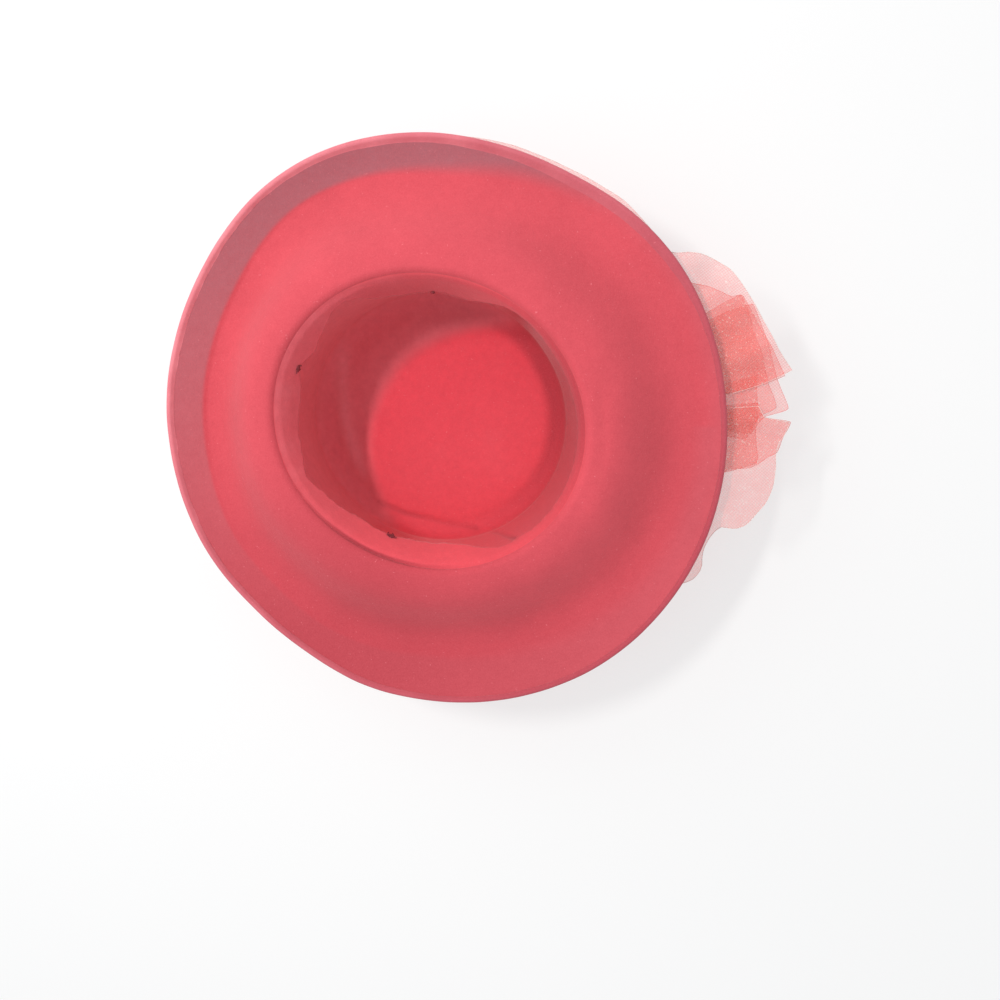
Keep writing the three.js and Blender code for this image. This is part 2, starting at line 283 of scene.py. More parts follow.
# Width of the rolled edge by direction, as a share of ROLL_WIDTH
ROLL_WIDTHS = rows(
    "angle share",
    (20, 0.9),
    (46, 1.7),
    (72, 1.4),
    (98, 1.15),
    (140, 1.0),
    (180, 1.0),
    (230, 0.9),
    (290, 0.8),
    (340, 0.8),
)

# Where the inner strip's top edge gets a painted highlight, where painted shade darkens its
# felt, where its felt is more worn, and where its seam stands open with painted shade, by direction
STRIP_PAINTED_HIGHLIGHTS = rows(
    "middle spread share",
    (148, 16, 0.45),
    (26, 34, 0.6),
)
STRIP_PAINTED_SHADE = rows(
    "middle spread share",
    (95, 30, 0.35),
    (8, 48, 0.8),
)
WORN_STRIP = {"middle": 162.0, "spread": 60.0, "share": 0.30, "wave": 0.12, "length": 7.0}
PALE_FOOT = {"share": 0.3, "wave": 1.4, "length": 22.0}
SEAM = {"middle": 243.0, "spread": 42.0, "gap": 0.85}

# Ragged waves of the strip's cut edge, in degrees, each as a share of STRIP_RAGGED
RAGGED_WAVES = rows(
    "length share seed",
    (3.1, 0.6, 1.3),
    (1.1, 0.5, 6.6),
)

# Painted highlight on the rolled edge's side towards the light, painted shade on its other side
ROLL_PAINTED_LIGHT = SimpleNamespace(
    highlight_middle=145.0,
    highlight_least=0.04,
    highlight_share=0.62,
    highlight_wave=0.25,
    highlight_length=16.0,
    painted_shade=0.5,
)

# Scuffs on the felt: noise length in millimetres, and how much of it shows
SCUFFS = {"length": 26.0, "gain": 1.6, "cut": 0.5, "outside": 0.10}

# Felt tones inside the crown, most of them painted shade and painted light. The lee is the
# side that the rim shades, where grey shade is painted, and LEE_EDGE says where it starts
# and where it is full, as shares of the opening's reach. The other pairs say the same for a
# tone, in millimetres.
LEE_EDGE = (0.98, 1.12)
INSIDE_TONE = SimpleNamespace(
    wall=(0.3, 7.3),
    lee_mauve=0.08,
    lee_pale=0.40,
    lee_wall_pale=0.20,
    top_middle=78.0,
    top_spread=30.0,
    top_painted_shade=0.34,
    right_middle=12.0,
    right=(-5.0, 4.0),
    right_painted_shade=0.85,
    lit_direction=(0.5, -0.86),
    lit=(-25.0, 35.0),
    lit_pale=0.05,
    scuff_pale=0.06,
    ridge_painted_light=0.3,
    crease_painted_dull=0.5,
    crease_painted_shade=0.7,
)

# Painted shade on the brim's lip, with a painted grey sheen on its left, and painted shade
# low on the left of the brim. Pairs say where a tone starts and where it is full, in
# degrees. Lags are shares of the way across the brim.
BRIM_PAINTED_SHADE = SimpleNamespace(
    left_middle=175.0,
    left_lag=0.035,
    left_painted_sheen=0.14,
    right=(88.0, 58.0),
    right_lag=0.10,
    top_rise=(42.0, 68.0),
    top_fall=(125.0, 255.0),
    least_painted_shade=0.22,
    least_painted_sheen=0.03,
    blur=0.035,
    blur_more=0.16,
    blur_right=(120.0, 60.0),
    blur_low=(250.0, 310.0),
    lead=0.25,
    low_middle=245.0,
    low_spread=50.0,
    low_painted_shade=0.5,
    low_lip_painted_shade=0.14,
)

# Hand-cut edge of the inner strip: width as a share of STRIP_WIDTH
STRIP_CUT = rows(
    "angle width",
    (0, 0.3), (28, 0.3), (55, 0.3), (73, 1.0), (86, 0.9), (104, 1.0), (115, 0.8),
    (121, 0.39), (129, 0.3), (137, 0.6), (144, 0.8), (150, 0.92), (157, 0.61), (164, 0.86),
    (171, 0.92), (184, 0.78), (195, 0.64), (203, 0.39), (212, 0.61), (223, 0.74),
    (233, 0.9), (244, 0.83), (254, 0.91), (268, 1.0), (282, 0.94), (298, 0.36), (312, 0.3),
    (335, 0.3),
)

# Each tack's place: direction, depth below its top edge, and size
TACKS = rows(
    "name angle below size",
    ("tack_left", 158, 12.0, 2.4),
    ("tack_bottom", 249, 17.5, 3.2),
    ("tack_top", 89, 19.0, 1.2),
)

# The folds that all organza sheets share: how many in a full turn, size and shift
PLEAT_WAVES = rows(
    "count size shift",
    (19, 0.62, 0.7),
    (31, 0.3, 2.1),
)

# Organza sheets, fanned out from the knot. `low` and `high` are the hem's end
# directions, the skews turn the side folds towards the knot, a higher level lies
# further below the brim, and `stands_for` is the solid layer that the sheet replaces.
SHEETS = rows(
    "name low high low_skew high_skew level stands_for",
    ("frill_lobe_upper", 13.4, 84, 16.5, 0, 1, "frill_inner_layer"),
    ("frill_lining_upper", 12.2, 82, 12, 0, 2, "frill_inner_layer"),
    ("frill_fold_high", -8, 39.5, 0, 17, 3, "frill_inner_layer"),
    ("frill_fold_middle", -6, 35.2, 0, 24, 4, "frill_outer_layer"),
    ("frill_lobe_lower", -80, 4, 0, 0, 1, "frill_inner_layer"),
    ("frill_lining_lower", -62, 5, 0, 0, 3, "frill_outer_layer"),
    ("frill_root_lower", -50, 14, 0, 0, 5, "frill_outer_layer"),
)


def hem_rows(*values):
    return rows("angle reach", *values)


# Hem of each sheet, by direction from the knot: reach as a share of FRILL_REACH
HEMS = {
    "frill_lobe_upper": hem_rows(
        (13.4, 1.021), (17.6, 0.992), (21.6, 0.973), (26.4, 0.968), (31.4, 0.966),
        (36.1, 0.968), (43.3, 0.977), (47.0, 0.982), (51.1, 0.972), (55.1, 0.957),
        (59.3, 0.93), (63.9, 0.892), (75, 0.87), (84, 0.85),
    ),
    "frill_lining_upper": hem_rows(
        (12.2, 0.985), (20, 0.955), (27, 0.94), (35, 0.942), (39, 0.946), (41.2, 0.9),
        (44.4, 0.879), (49, 0.853), (53.8, 0.816), (66, 0.76), (82, 0.72),
    ),
    "frill_fold_high": hem_rows(
        (-8, 0.8), (0.3, 0.845), (3.4, 0.93), (12, 0.9), (24, 0.9), (34, 0.93),
        (39.5, 0.944),
    ),
    "frill_fold_middle": hem_rows(
        (-6, 0.82), (0.1, 0.874), (2.7, 0.991), (6.0, 0.975), (9.4, 0.957), (12.2, 0.949),
        (19.1, 0.944), (24.7, 0.95), (31.7, 0.962), (35.2, 0.966),
    ),
    "frill_lobe_lower": hem_rows(
        (-80, 0.9), (-66, 0.98), (-57.0, 1.006), (-54.2, 0.994), (-52.2, 0.972),
        (-50.6, 0.939), (-48.6, 0.911), (-47.1, 0.899), (-44.3, 0.887), (-41.4, 0.883),
        (-39.3, 0.889), (-38.2, 0.914), (-36.9, 0.944), (-33.3, 0.979), (-30.0, 0.989),
        (-25.6, 1.001), (-20.7, 0.995), (-15.6, 0.974), (-10.6, 0.955), (-7.8, 0.959),
        (-5.3, 0.977), (-1.2, 0.99), (0.1, 0.87), (4, 0.84),
    ),
    "frill_lining_lower": hem_rows(
        (-62, 0.7), (-40, 0.7), (-30, 0.71), (-20.8, 0.756), (-17.0, 0.86), (-14.5, 0.895),
        (-12.1, 0.928), (-10.4, 0.964), (-5.4, 0.983), (-3.6, 0.994), (-1.2, 1.004),
        (0.1, 0.874), (5, 0.84),
    ),
    "frill_root_lower": hem_rows(
        (-50, 0.6), (-26, 0.7), (-17.4, 0.839), (-14.8, 0.883), (-9.5, 0.862),
        (-1.8, 0.842), (8, 0.845), (14, 0.86),
    ),
}

# Colours, linear
FELT_RED = (0.63, 0.075, 0.098)
FELT_BRIGHT = (0.84, 0.075, 0.106)
# Painted shade colour, grey-mauve
FELT_PAINTED_MAUVE = (0.345, 0.112, 0.136)
# Paler felt for scuffs, specks and wear, also used for painted grey shade, sheen and highlights
FELT_PALE = (0.92, 0.31, 0.35)
# Darker felt for mottling, also used for painted shade
FELT_DEEP = (0.38, 0.035, 0.05)
FELT_NAP = (0.92, 0.20, 0.23)
ROLL_RED = (0.50, 0.095, 0.13)
STRIP_RED = (0.78, 0.078, 0.102)
THREAD_RED = (0.20, 0.022, 0.03)
ORGANZA_PINK = (0.93, 0.155, 0.13)
HEM_PALE = (0.84, 0.56, 0.52)
FLOOR_WHITE = (0.38, 0.38, 0.38)
FLOOR_LIGHT = (1.0, 1.0, 1.0)
FLOOR_GLOW = 0.56

head_oval = {"length": HEAD_LENGTH, "width": HEAD_WIDTH, "turn": HEAD_TURN, "middle": (0, 0)}
tip_oval = {"length": TIP_LENGTH, "width": TIP_WIDTH, "turn": HEAD_TURN, "middle": TIP_SHIFT}
brim_oval = {"length": BRIM_LENGTH, "width": BRIM_WIDTH, "turn": BRIM_TURN, "middle": BRIM_SHIFT}


def lerp(a, b, t):
    return a + (b - a) * t


def clamp(value, low=0.0, high=1.0):
    return max(low, min(high, value))


def smooth(value):
    t = clamp(value)
    return t * t * (3 - 2 * t)


def ramp(value, start, end):
    """A smooth step from 0 at `start` to 1 at `end`."""
    return smooth((value - start) / (end - start))


def bell(value, spread):
    return math.exp(-((value / spread) ** 2))


def turn_between(a, b):
    """Degrees between two directions, up to 180."""
    return abs((a - b + 180) % 360 - 180)


def side_share(degrees, middle):
    """1 where a direction is `middle`, falling to 0 on the opposite side."""
    return 0.5 + 0.5 * math.cos(math.radians(degrees - middle))


def patches_at(table, degrees):
    """Sum of a table's soft patches at a direction."""
    return sum(row["share"] * bell(turn_between(degrees, row["middle"]), row["spread"]) for row in table)


def wave_at(x, y, z, length, seed=0.0):
    """Smooth noise from -1 to 1 whose bumps are about `length` apart."""
    return noise.noise(Vector((x / length + seed, y / length - seed, z / length + 2 * seed)))


def table_at(table, column, angle):
    """A closed table's column at any direction, on a smooth curve through its rows."""
    count = len(table)
    while angle < table[0]["angle"]:
        angle += 360
    while angle >= table[0]["angle"] + 360:
        angle -= 360

    def row(i):
        turns, place = divmod(i, count)
        return table[place]["angle"] + 360 * turns, table[place][column]

    at = 0
    while at < count - 1 and row(at + 1)[0] <= angle:
        at += 1
    before, start, end, after = row(at - 1), row(at), row(at + 1), row(at + 2)
    span = end[0] - start[0]
    t = (angle - start[0]) / span
    leave = span * (end[1] - before[1]) / (end[0] - before[0])
    arrive = span * (after[1] - start[1]) / (after[0] - start[0])
    return (
        lerp(start[1], end[1], t * t * (3 - 2 * t))
        + leave * t * (1 - t) ** 2
        - arrive * t * t * (1 - t)
    )


def hem_at(table, angle):
    """An open table's reach at a direction, on a curve that never overshoots its rows."""
    last = len(table) - 1
    angle = clamp(angle, table[0]["angle"], table[last]["angle"])
    at = 0
    while at < last - 1 and table[at + 1]["angle"] <= angle:
        at += 1

    def steepness(i):
        a, b = table[i], table[i + 1]
        return (b["reach"] - a["reach"]) / (b["angle"] - a["angle"])

    def slope(i):
        if i == 0 or i == last:
            return steepness(min(i, last - 1))
        before, after = steepness(i - 1), steepness(i)
        return 0 if before * after <= 0 else 2 * before * after / (before + after)

    start, end = table[at], table[at + 1]
    span = end["angle"] - start["angle"]
    t = (angle - start["angle"]) / span
    return (
        lerp(start["reach"], end["reach"], t * t * (3 - 2 * t))
        + span * slope(at) * t * (1 - t) ** 2
        - span * slope(at + 1) * t * t * (1 - t)
    )


def oval_reach(oval, degrees, grow=0.0):
    """Distance from the crown's axis to an oval's edge, grown outwards by `grow`."""
    turn = math.radians(oval["turn"])
    direction = math.radians(degrees) - turn
    long, short = oval["length"] / 2 + grow, oval["width"] / 2 + grow
    x, y = oval["middle"]
    ux, uy = math.cos(direction) / long, math.sin(direction) / short
    cx = (x * math.cos(turn) + y * math.sin(turn)) / long
    cy = (y * math.cos(turn) - x * math.sin(turn)) / short
    uu, uc, cc = ux * ux + uy * uy, ux * cx + uy * cy, cx * cx + cy * cy
    return (uc + math.sqrt(uc * uc - uu * (cc - 1))) / uu


def spin(reach, height, degrees):
    angle = math.radians(degrees)
    return Vector((reach * math.cos(angle), reach * math.sin(angle), height))


def offset_line(line, distance):
    """The line beside a cross-section's line, at a given distance on its right."""
    moved = []
    for i, (reach, height) in enumerate(line):
        a, b = line[max(i - 1, 0)], line[min(i + 1, len(line) - 1)]
        run, rise = b[0] - a[0], b[1] - a[1]
        length = math.hypot(run, rise)
        moved.append((reach + distance * rise / length, height - distance * run / length))
    return moved


def directions(count=AROUND):
    return [360 * i / count for i in range(count)]


# Meshes

def make_piece(name, points, faces, material, slot, tints=None):
    """A smooth mesh object in metres. Tints are (mauve, pale, bright, deep) shares by point; mauve and
    deep are painted shade, and pale is scuffs and wear mixed with painted grey shade, sheen and
    highlights.
    """
    mesh = bpy.data.meshes.new(name)
    mesh.from_pydata([tuple(p * MM) for p in points], [], faces)
    mesh.validate()
    if tints:
        mesh.color_attributes.new("tint", "FLOAT_COLOR", "POINT")
        mesh.attributes.new("painted_shade", "FLOAT", "POINT")
        colours = [part for tint in tints for part in (*tint[:3], 1.0)]
        mesh.color_attributes["tint"].data.foreach_set("color", colours)
        mesh.attributes["painted_shade"].data.foreach_set("value", [tint[3] for tint in tints])
    mesh.materials.append(material)
    for face in mesh.polygons:
        face.use_smooth = True
    piece = bpy.data.objects.new(name, mesh)
    bpy.context.scene.collection.objects.link(piece)
    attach(piece, "root")
    return piece


def band_faces(row_count, width, rows_close, row_is_loop=True):
    """Quads between rows of points. The rows close into a ring if asked."""
    faces = []
    for r in range(row_count if rows_close else row_count - 1):
        here, there = r * width, ((r + 1) % row_count) * width
        for c in range(width if row_is_loop else width - 1):
            d = (c + 1) % width
            faces.append((here + c, here + d, there + d, there + c))
    return faces


def flipped(faces):
    return [tuple(reversed(face)) for face in faces]


def tube(path, radii, closed=False):
    """Points and faces of a round tube along a path, with capped ends if it is open."""
    points, faces = [], []
    count, sides = len(path), THREAD_SIDES
    for i, centre in enumerate(path):
        before = path[i - 1] if i or closed else path[0]
        after = path[(i + 1) % count] if i < count - 1 or closed else path[-1]
        along = (after - before).normalized()
        side = along.cross(Vector((0.13, 0.21, 0.97))).normalized()
        top = side.cross(along)
        for s in range(sides):
            turn = 2 * math.pi * s / sides
            points.append(centre + radii[i] * (side * math.cos(turn) + top * math.sin(turn)))
    faces += band_faces(count, sides, closed)
    if not closed:
        faces.append(tuple(range(sides)))
        faces.append(tuple(reversed(range((count - 1) * sides, count * sides))))
    return points, faces


# Felt forms

WALL_GROW = FELT + GAP + FELT
WALL_TOP = CROWN_DEPTH - FOLD_RADIUS
COLLAR_FOOT = WALL_TOP - COLLAR_DEPTH


def wall_reach(degrees, height):
    up = clamp((height - TIP_CORNER) / (COLLAR_FOOT - TIP_CORNER))
    return lerp(oval_reach(tip_oval, degrees), oval_reach(head_oval, degrees, WALL_GROW), up)


def wall_push(degrees, height):
    """How far the crown's wall wanders inwards, and not at all at its ends."""
    place = spin(WALL_WAVE_REACH, height, degrees)
    hold = smooth(height / WALL_WAVE_FOOT) * smooth((COLLAR_FOOT - height) / WALL_WAVE_TOP)
    return hold * WALL_WAVE * (0.5 + wave_at(*place, WALL_WAVE_LENGTH, seed=3.1))


def crown_line(degrees):
    """The outer line from the tip's corner up to the crown's top edge."""
    line = []
    for i in range(CORNER_STEPS + 1):
        turn = math.pi / 2 * i / CORNER_STEPS
        reach = wall_reach(degrees, 0) - TIP_CORNER * (1 - math.sin(turn))
        line.append((reach, TIP_CORNER * (1 - math.cos(turn))))
    for i in range(1, WALL_STEPS + 1):
        height = lerp(TIP_CORNER, WALL_TOP, i / WALL_STEPS)
        line.append((wall_reach(degrees, height) - wall_push(degrees, height), height))
    return line


def tip_ridge(x, y):
    """Share of the worn ridge at a point of the tip, from 0 to 1."""
    dx, dy = x - TIP_RIDGE["x"], y - TIP_RIDGE["y"]
    turn = math.degrees(math.atan2(dy, dx)) % 360
    taper = TIP_RIDGE["taper"]
    ends = smooth((turn - TIP_RIDGE["low"]) / taper) * smooth((TIP_RIDGE["high"] - turn) / taper)
    return ends * bell(math.hypot(dx, dy) - TIP_RIDGE["radius"], TIP_RIDGE["width"])


def crease_share(p):
    """How close a point lies to the crease at the foot of the wall, from 0 to 1."""
    path = [Vector(place) for place in CROWN_CREASE]
    nearest = math.inf
    for a, b in zip(path, path[1:]):
        t = clamp((p - a).dot(b - a) / (b - a).length_squared)
        nearest = min(nearest, (p - a.lerp(b, t)).length)
    return bell(nearest, CREASE_WIDTH)


def press(p):
    """A point of the crown's inner face, with its ridge raised and its crease pressed in."""
    inwards = Vector((-p.x, -p.y, 0)).normalized()
    tilt = smooth((p.z - FELT) / PRESS_BEND)
    up = (Vector((0, 0, 1 - tilt)) + inwards * tilt).normalized()
    rise = TIP_RIDGE["rise"] * tip_ridge(p.x, p.y) * (1 - tilt)
    return p + up * (rise - CREASE_DEPTH * crease_share(p))


def tip_wave(x, y):
    return TIP_WAVE * (0.5 + 0.5 * wave_at(x, y, 0, TIP_WAVE_LENGTH, seed=7.7))


def crown_shell():
    outer = [crown_line(degrees) for degrees in directions()]
    rings, tints = [], []

    def add(ring, tint):
        rings.append(ring)
        tints.extend(tint(p) for p in ring)

    steps = TIP_STEPS_OUTSIDE
    for share in [TIP_CENTRE_OUTSIDE] + [i / steps for i in range(1, steps)]:
        add([spin(line[0][0] * share, 0, d) for line, d in zip(outer, directions())], outside_tint)
    for level in range(len(outer[0])):
        add([spin(*line[level], d) for line, d in zip(outer, directions())], outside_tint)
    inner = []
    for line in outer:
        inside = offset_line(line, -FELT)
        inside[0] = (line[0][0], FELT)
        inside[-1] = (line[-1][0] - FELT, line[-1][1])
        inner.append(inside)
    for level in reversed(range(len(inner[0]))):
        add([press(spin(*line[level], d)) for line, d in zip(inner, directions())], inside_tint)
    steps = TIP_STEPS_INSIDE
    for share in [i / steps for i in range(steps - 1, 0, -1)] + [TIP_CENTRE_INSIDE]:
        ring = []
        for line, d in zip(inner, directions()):
            place = spin(line[0][0] * share, FELT, d)
            wave = tip_wave(place.x, place.y) * smooth((1 - share) / TIP_WAVE_START)
            ring.append(press(place) + Vector((0, 0, wave)))
        add(ring, inside_tint)
    points = [p for ring in rings for p in ring]
    faces = band_faces(len(rings), AROUND, False)
    end = (len(rings) - 1) * AROUND
    faces.append(tuple(reversed(range(AROUND))))
    faces.append(tuple(range(end, end + AROUND)))
    return points, faces, tints


def scuff_at(p):
    return clamp(SCUFFS["gain"] * wave_at(p.x, p.y, p.z, SCUFFS["length"], seed=5.3) - SCUFFS["cut"])


def outside_tint(p):
    return 0.0, SCUFFS["outside"] * scuff_at(p), 0.0, 0.0


def lee_share(p):
    """How far a point inside the crown lies on the side that the rim shades, from 0 to 1."""
    climb = (CROWN_DEPTH - p.z) / KEY_DIRECTION[2]
    x, y = p.x + KEY_DIRECTION[0] * climb, p.y + KEY_DIRECTION[1] * climb
    edge = oval_reach(head_oval, math.degrees(math.atan2(y, x)))
    return ramp(math.hypot(x, y) / edge, *LEE_EDGE)


def inside_tint(p):
    """Cleaner felt inside the crown, with scuffs, painted grey shade on the side that the rim shades, and
    painted shade at the top, on the other wall and in the crease, with painted light on the tip's lit side
    and on its ridge.
    """
    tone = INSIDE_TONE
    degrees = math.degrees(math.atan2(p.y, p.x))
    corner = math.hypot(p.x, p.y) - oval_reach(tip_oval, degrees) + TIP_CORNER
    wall = ramp(p.z - FELT, *tone.wall)
    lee = lee_share(p)
    ridge = tip_ridge(p.x, p.y) * (1 - smooth((p.z - FELT) / PRESS_BEND))
    crease = crease_share(p)
    right = side_share(degrees, tone.right_middle) ** 2 * ramp(corner, *tone.right)
    lit_x, lit_y = tone.lit_direction
    lit = ramp(lit_x * p.x + lit_y * p.y, *tone.lit) * (1 - wall)
    top = bell(turn_between(degrees, tone.top_middle), tone.top_spread)
    # Painted shade and light: grey-mauve in the rim's shade, darker on the right wall and in the crease,
    # lighter on the tip's lit side and its ridge
    painted_mauve = (tone.lee_mauve + tone.top_painted_shade * top) * lee
    pale = (tone.lee_pale + tone.lee_wall_pale * wall) * lee
    pale += tone.scuff_pale * scuff_at(p) + tone.ridge_painted_light * ridge + tone.lit_pale * lit
    painted_shade = tone.right_painted_shade * right * (1 - lee) + tone.crease_painted_shade * crease
    return painted_mauve, clamp(pale), 1.0 - tone.crease_painted_dull * crease, clamp(painted_shade)


@cache
def brim_form(degrees, column):
    return table_at(BRIM_FORM, column, degrees)


@cache
def fold_top(degrees):
    return oval_reach(head_oval, degrees, FOLD_RADIUS)


@cache
def rim_reach(degrees):
    start = fold_top(degrees)
    return start + (oval_reach(brim_oval, degrees) - start) * brim_form(degrees, "reach")


def brim_height(degrees, across):
    """Height of the brim's upper face, from 0 at the fold to 1 at the rim."""
    crease = brim_form(degrees, "crease")
    down = min(across / crease, 1)
    out = max((across - crease) / (1 - crease), 0)
    fall = down - math.sin(2 * math.pi * down) / (2 * math.pi)
    lip = LIP_RISE * brim_form(degrees, "lip") * out ** brim_form(degrees, "soft")
    return CROWN_DEPTH - BRIM_DROP * brim_form(degrees, "drop") * fall + lip


def dents_at(x, y):
    total = 0.0
    for dent in BRIM_DENTS:
        turn = math.radians(dent["turn"])
        dx, dy = x - dent["x"], y - dent["y"]
        along = (dx * math.cos(turn) + dy * math.sin(turn)) / dent["along"]
        across = (dy * math.cos(turn) - dx * math.sin(turn)) / dent["across"]
        total += dent["depth"] * math.exp(-(along * along) - across * across)
    return total


def brim_relief(x, y, across):
    hold = smooth(across / WAVE_START)
    broad = BROAD_WAVE * wave_at(x, y, 0, BROAD_WAVE_LENGTH, seed=1.7)
    small = SMALL_WAVE * wave_at(x, y, 0, SMALL_WAVE_LENGTH, seed=4.2)
    return hold * (broad + small) - smooth(across / DENT_START) * dents_at(x, y)


def brim_surface(degrees, across):
    reach = lerp(fold_top(degrees), rim_reach(degrees), across)
    place = spin(reach, 0, degrees)
    return reach, brim_height(degrees, across) + brim_relief(place.x, place.y, across)


def brim_line(degrees):
    inside = oval_reach(head_oval, degrees)
    line = [(inside, lerp(COLLAR_FOOT, WALL_TOP, i / COLLAR_STEPS)) for i in range(COLLAR_STEPS)]
    for i in range(FOLD_STEPS):
        turn = math.pi * (1 - 0.5 * i / FOLD_STEPS)
        line.append((
            inside + FOLD_RADIUS * (1 + math.cos(turn)),
            WALL_TOP + FOLD_RADIUS * math.sin(turn),
        ))
    line += [brim_surface(degrees, i / ACROSS) for i in range(ACROSS + 1)]
    return line


def brim_painted_shade(degrees, across):
    """Painted shade: grey-mauve on the lip, strongest at the top, a painted grey sheen on the lip's left,
    and painted darker shade low on the left.
    """
    tone = BRIM_PAINTED_SHADE
    left = side_share(degrees, tone.left_middle) ** 3
    crease = brim_form(degrees, "crease") + tone.left_lag * left
    crease += tone.right_lag * ramp(degrees, *tone.right)
    top = ramp(degrees, *tone.top_rise) * (1 - ramp(degrees, *tone.top_fall))
    wide = ramp(degrees, *tone.blur_right) + ramp(degrees, *tone.blur_low)
    blur = tone.blur + tone.blur_more * wide
    lip = smooth((across - crease) / blur + tone.lead)
    low = bell(turn_between(degrees, tone.low_middle), tone.low_spread)
    painted_mauve = lip * max(top, tone.least_painted_shade)
    pale = lip * (tone.left_painted_sheen * left + tone.least_painted_sheen)
    return painted_mauve, pale, 0.0, (tone.low_painted_shade + tone.low_lip_painted_shade * lip) * low


def brim_shell():
    points, tints = [], []
    width = 0
    for degrees in directions():
        upper = brim_line(degrees)
        keep = list(range(0, len(upper) - 1, UNDERSIDE_STEP)) + [len(upper) - 1]
        lower = [offset_line(upper, FELT)[i] for i in reversed(keep)]
        width = len(upper) + len(lower)
        points += [spin(*p, degrees) for p in upper + lower]
        first = COLLAR_STEPS + FOLD_STEPS
        tints += [brim_painted_shade(degrees, (i - first) / ACROSS) for i in range(len(upper))]
        tints += [(0.0, 0.0, 0.0, 0.0)] * len(lower)
    return points, flipped(band_faces(AROUND, width, True)), tints


def rim_frame(degrees):
    """The rim's end point, and the directions along and up from the brim's face there."""
    end, root = brim_surface(degrees, 1.0), brim_surface(degrees, RIM_ROOT)
    run = math.hypot(end[0] - root[0], end[1] - root[1])
    along = ((end[0] - root[0]) / run, (end[1] - root[1]) / run)
    return end, along, (-along[1], along[0])


def roll_section(width):
    """Closed section of the rolled felt: out along its outside, back along its inside."""
    reach, half = GAP + ROLL_FELT, FELT / 2 + ROLL_FELT - GAP
    back = reach - width
    face = FELT / 2 - ROLL_SINK
    run = max(width - half - ROLL_BEND, ROLL_LEAST_SLOPE)
    shares = [i / ROLL_SLOPE_STEPS for i in range(ROLL_SLOPE_STEPS + 1)]
    slope = [(back + run * t, lerp(face, half, t)) for t in shares]
    outside = list(slope)
    for i in range(ROLL_TURN_STEPS + 1):
        turn = math.pi / 2 - math.pi * i / ROLL_TURN_STEPS
        outside.append((reach - half + half * math.cos(turn), half * math.sin(turn)))
    outside += [(x, -y) for x, y in reversed(slope)]
    inner, root = FELT / 2 + ROLL_CLEAR, back + ROLL_INSET
    return outside + [(root, -inner), (GAP, -inner), (GAP, inner), (root, inner)]


def roll_shell():
    tone = ROLL_PAINTED_LIGHT
    points, tints = [], []
    width = 0
    for degrees in directions():
        end, along, up = rim_frame(degrees)
        place = spin(end[0], end[1], degrees)
        wander = ROLL_WANDER * (wave_at(*place, 9, seed=8.8) + wave_at(*place, 38, seed=2.2))
        section = roll_section(ROLL_WIDTH * table_at(ROLL_WIDTHS, "share", degrees) + wander)
        width = len(section)
        # Painted highlight where the roll faces the light, and painted shade where it faces away
        facing = side_share(degrees, tone.highlight_middle)
        wear_and_highlight = tone.highlight_least + tone.highlight_share * facing ** 1.5
        wear_and_highlight += tone.highlight_wave * facing * wave_at(*place, tone.highlight_length, seed=6.1)
        for out, rise in section:
            rise -= FELT / 2
            points.append(spin(
                end[0] + along[0] * out + up[0] * rise,
                end[1] + along[1] * out + up[1] * rise,
                degrees,
            ))
            tints.append((0.0, clamp(wear_and_highlight), 0.0, tone.painted_shade * (1 - facing)))
    return points, flipped(band_faces(AROUND, width, True)), tints


def seam_share(degrees):
    """How far the strip's seam stands open, from 0 to 1."""
    return bell(turn_between(degrees, SEAM["middle"]), SEAM["spread"]) ** 2


def seam_gap(degrees):
    return SEAM["gap"] * seam_share(degrees) - STRIP_SUNK


def strip_thickness(below):
    """The strip's felt, pressed thin where it laps onto the fold."""
    return STRIP_FELT * smooth((below + STRIP_LAP + STRIP_THIN_START) / STRIP_THIN_RUN)


def strip_place(degrees, below, out=0.0):
    """A point of the strip's inner face, `below` the fold's foot and `out` into the hat."""
    lean = math.radians(STRIP_LEAN)
    wave = 0.5 + 0.5 * wave_at(degrees, below, 0, STRIP_BUCKLE_LENGTH, seed=9.4)
    buckle = STRIP_BUCKLE * smooth(below / STRIP_BUCKLE_START) * wave
    down = below * math.cos(lean)
    on_fold = FOLD_RADIUS - math.sqrt(FOLD_RADIUS ** 2 - max(STRIP_TOP - down, 0) ** 2)
    start = oval_reach(head_oval, degrees, on_fold - seam_gap(degrees)) - strip_thickness(below)
    return spin(
        start - max(below, 0) * math.sin(lean) - (buckle + out) * math.cos(lean),
        WALL_TOP + STRIP_TOP - down + (buckle + out) * math.sin(lean),
        degrees,
    )


def strip_width(degrees):
    ragged = sum(row["share"] * wave_at(degrees, 0, 0, row["length"], row["seed"]) for row in RAGGED_WAVES)
    return STRIP_WIDTH * table_at(STRIP_CUT, "width", degrees) + STRIP_RAGGED * ragged


